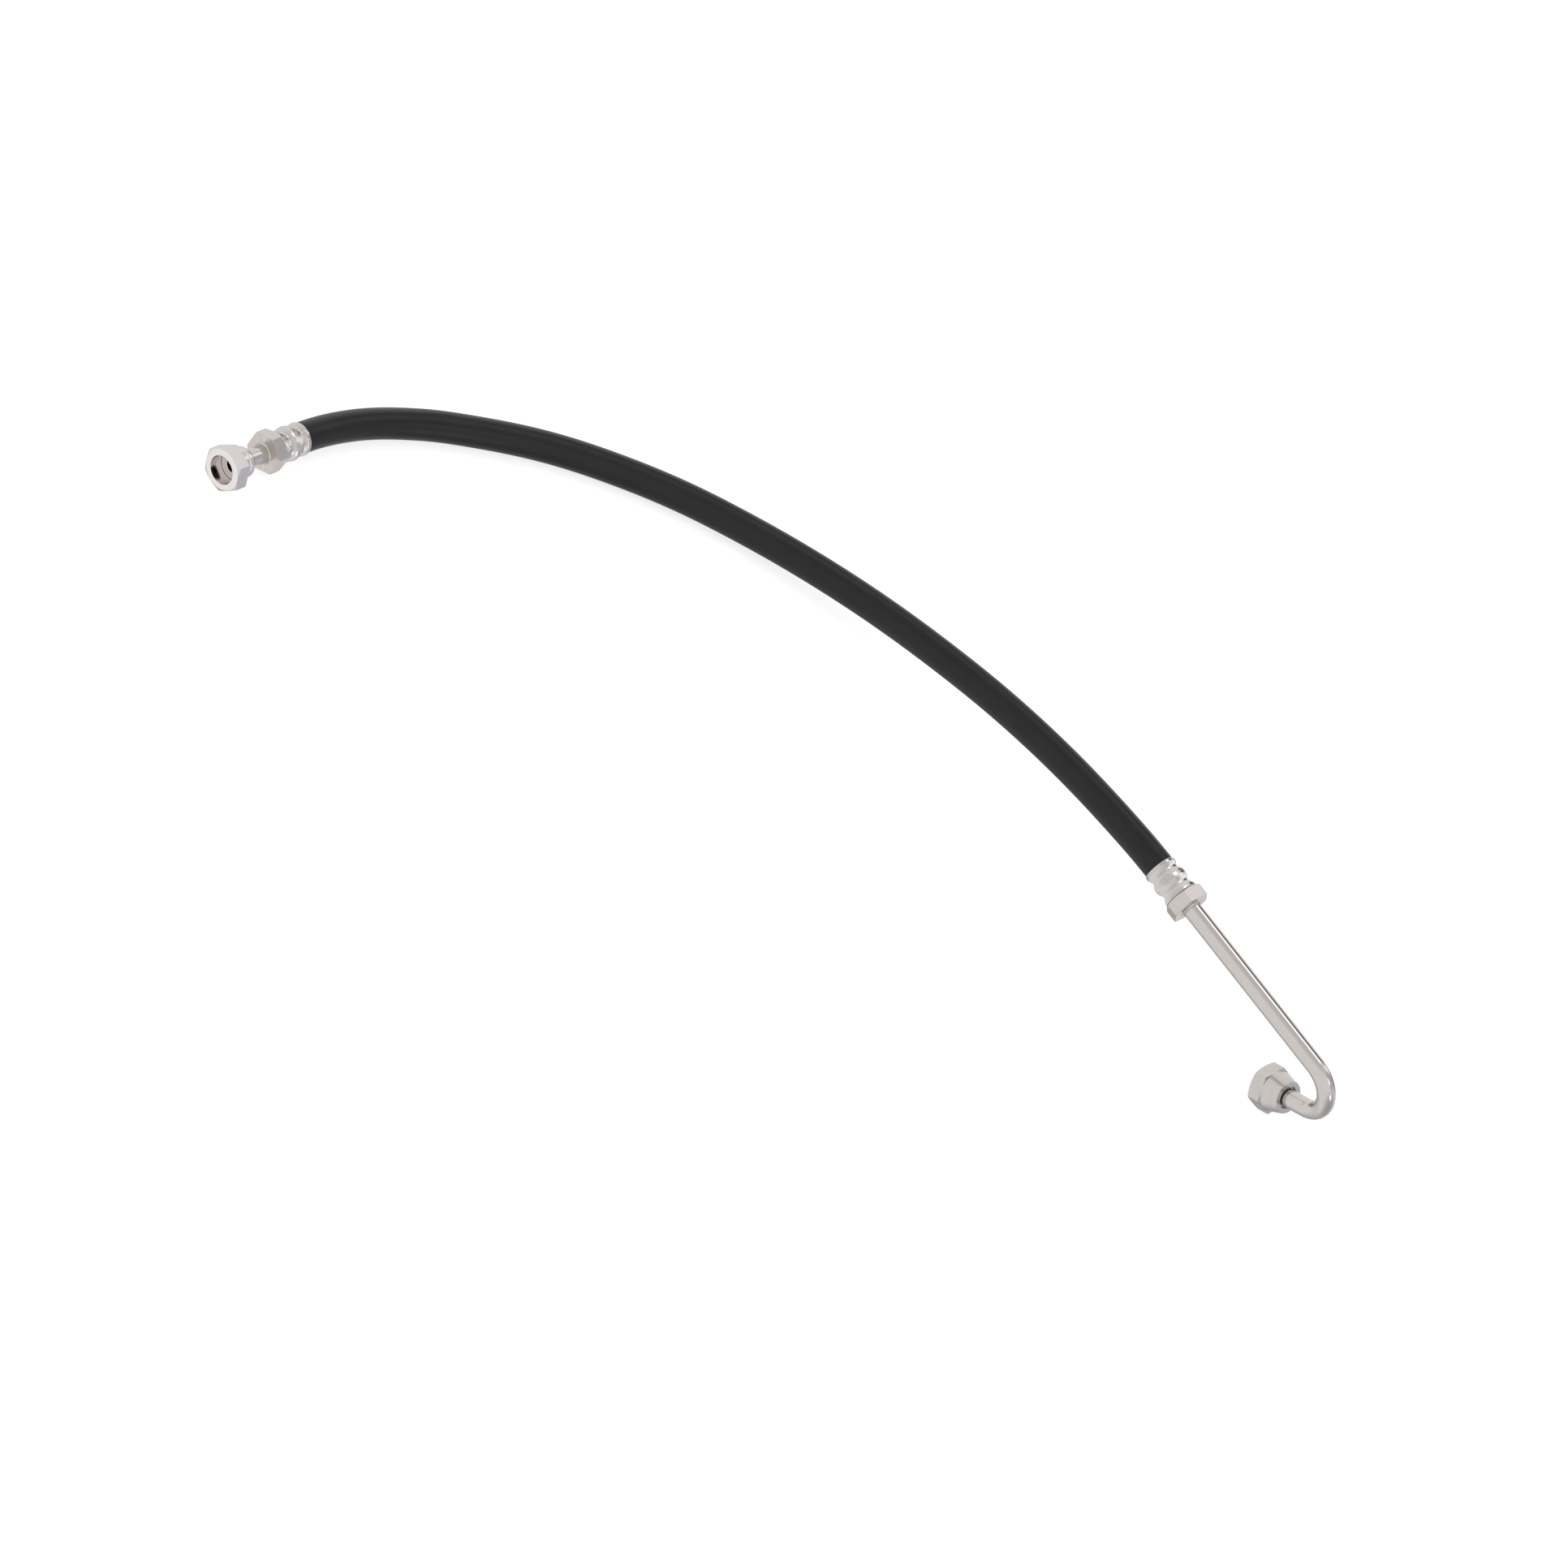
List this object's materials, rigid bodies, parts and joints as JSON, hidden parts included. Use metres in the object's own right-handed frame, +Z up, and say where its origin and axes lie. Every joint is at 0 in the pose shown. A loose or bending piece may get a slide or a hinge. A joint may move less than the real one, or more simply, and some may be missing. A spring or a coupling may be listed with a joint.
{
  "type": "hydraulic hose assembly",
  "caption": "Wire-braided hydraulic hose with crimped ends: a straight swivel nut fitting on one end and a long steel tube with a return bend and swivel nut on the other.",
  "frame": {"origin": "centre of the base of the fittings' bounding box, on the plane that the assembly lies on", "axes": "+X runs along the outlet tube, from the hose towards the return bend, +Z is up, and +Y is the way the hose leaves the inlet fitting"},
  "size_m": [0.69, 0.4432, 0.0731],
  "materials": {
    "cover_rubber": "satin black synthetic rubber cover",
    "liner_rubber": "smooth black nitrile rubber",
    "braid_wire": "brass-coated high-tensile steel wire braid",
    "ferrule_steel": "bright zinc plate, polished on the crimp ridges",
    "stem_steel": "satin zinc plate",
    "tube_steel": "smooth bright zinc plate",
    "nut_steel": "satin zinc plate with light machining marks",
    "sleeve_steel": "zinc plate",
    "braze_metal": "plated brazing fillet",
    "spring_wire": "bright drawn spring wire"
  },
  "bodies": {
    "hose_and_tubes": {"hose_liner": "liner_rubber", "hose_inner_braid": "braid_wire", "hose_interlayer": "liner_rubber", "hose_outer_braid": "braid_wire", "hose_cover": "cover_rubber", "inlet_ferrule": "ferrule_steel", "inlet_stem": "stem_steel", "inlet_braze_ring": "braze_metal", "inlet_nipple": "tube_steel", "inlet_lock_wire": "spring_wire", "outlet_ferrule": "ferrule_steel", "outlet_stem": "stem_steel", "outlet_braze_ring": "braze_metal", "outlet_tube": "tube_steel"},
    "inlet_swivel": {"inlet_nut": "nut_steel"},
    "outlet_slider": {"outlet_sleeve": "sleeve_steel"},
    "outlet_swivel": {"outlet_nut": "nut_steel"}
  },
  "joints": [
    {"name": "inlet_nut_spin", "type": "hinge", "parent": "hose_and_tubes", "child": "inlet_swivel", "pos_m": [-0.32957, -0.22108, 0.0138], "axis": [-0.0593, -0.9982, 0], "continuous": true},
    {"name": "outlet_sleeve_slide", "type": "slide", "parent": "hose_and_tubes", "child": "outlet_slider", "axis": [0.7992, -0.0829, 0.5953], "range_m": [0, 0.012]},
    {"name": "outlet_nut_spin", "type": "hinge", "parent": "outlet_slider", "child": "outlet_swivel", "pos_m": [0.30221, 0.20616, 0.01086], "axis": [-0.7992, 0.0829, -0.5953], "continuous": true}
  ]
}
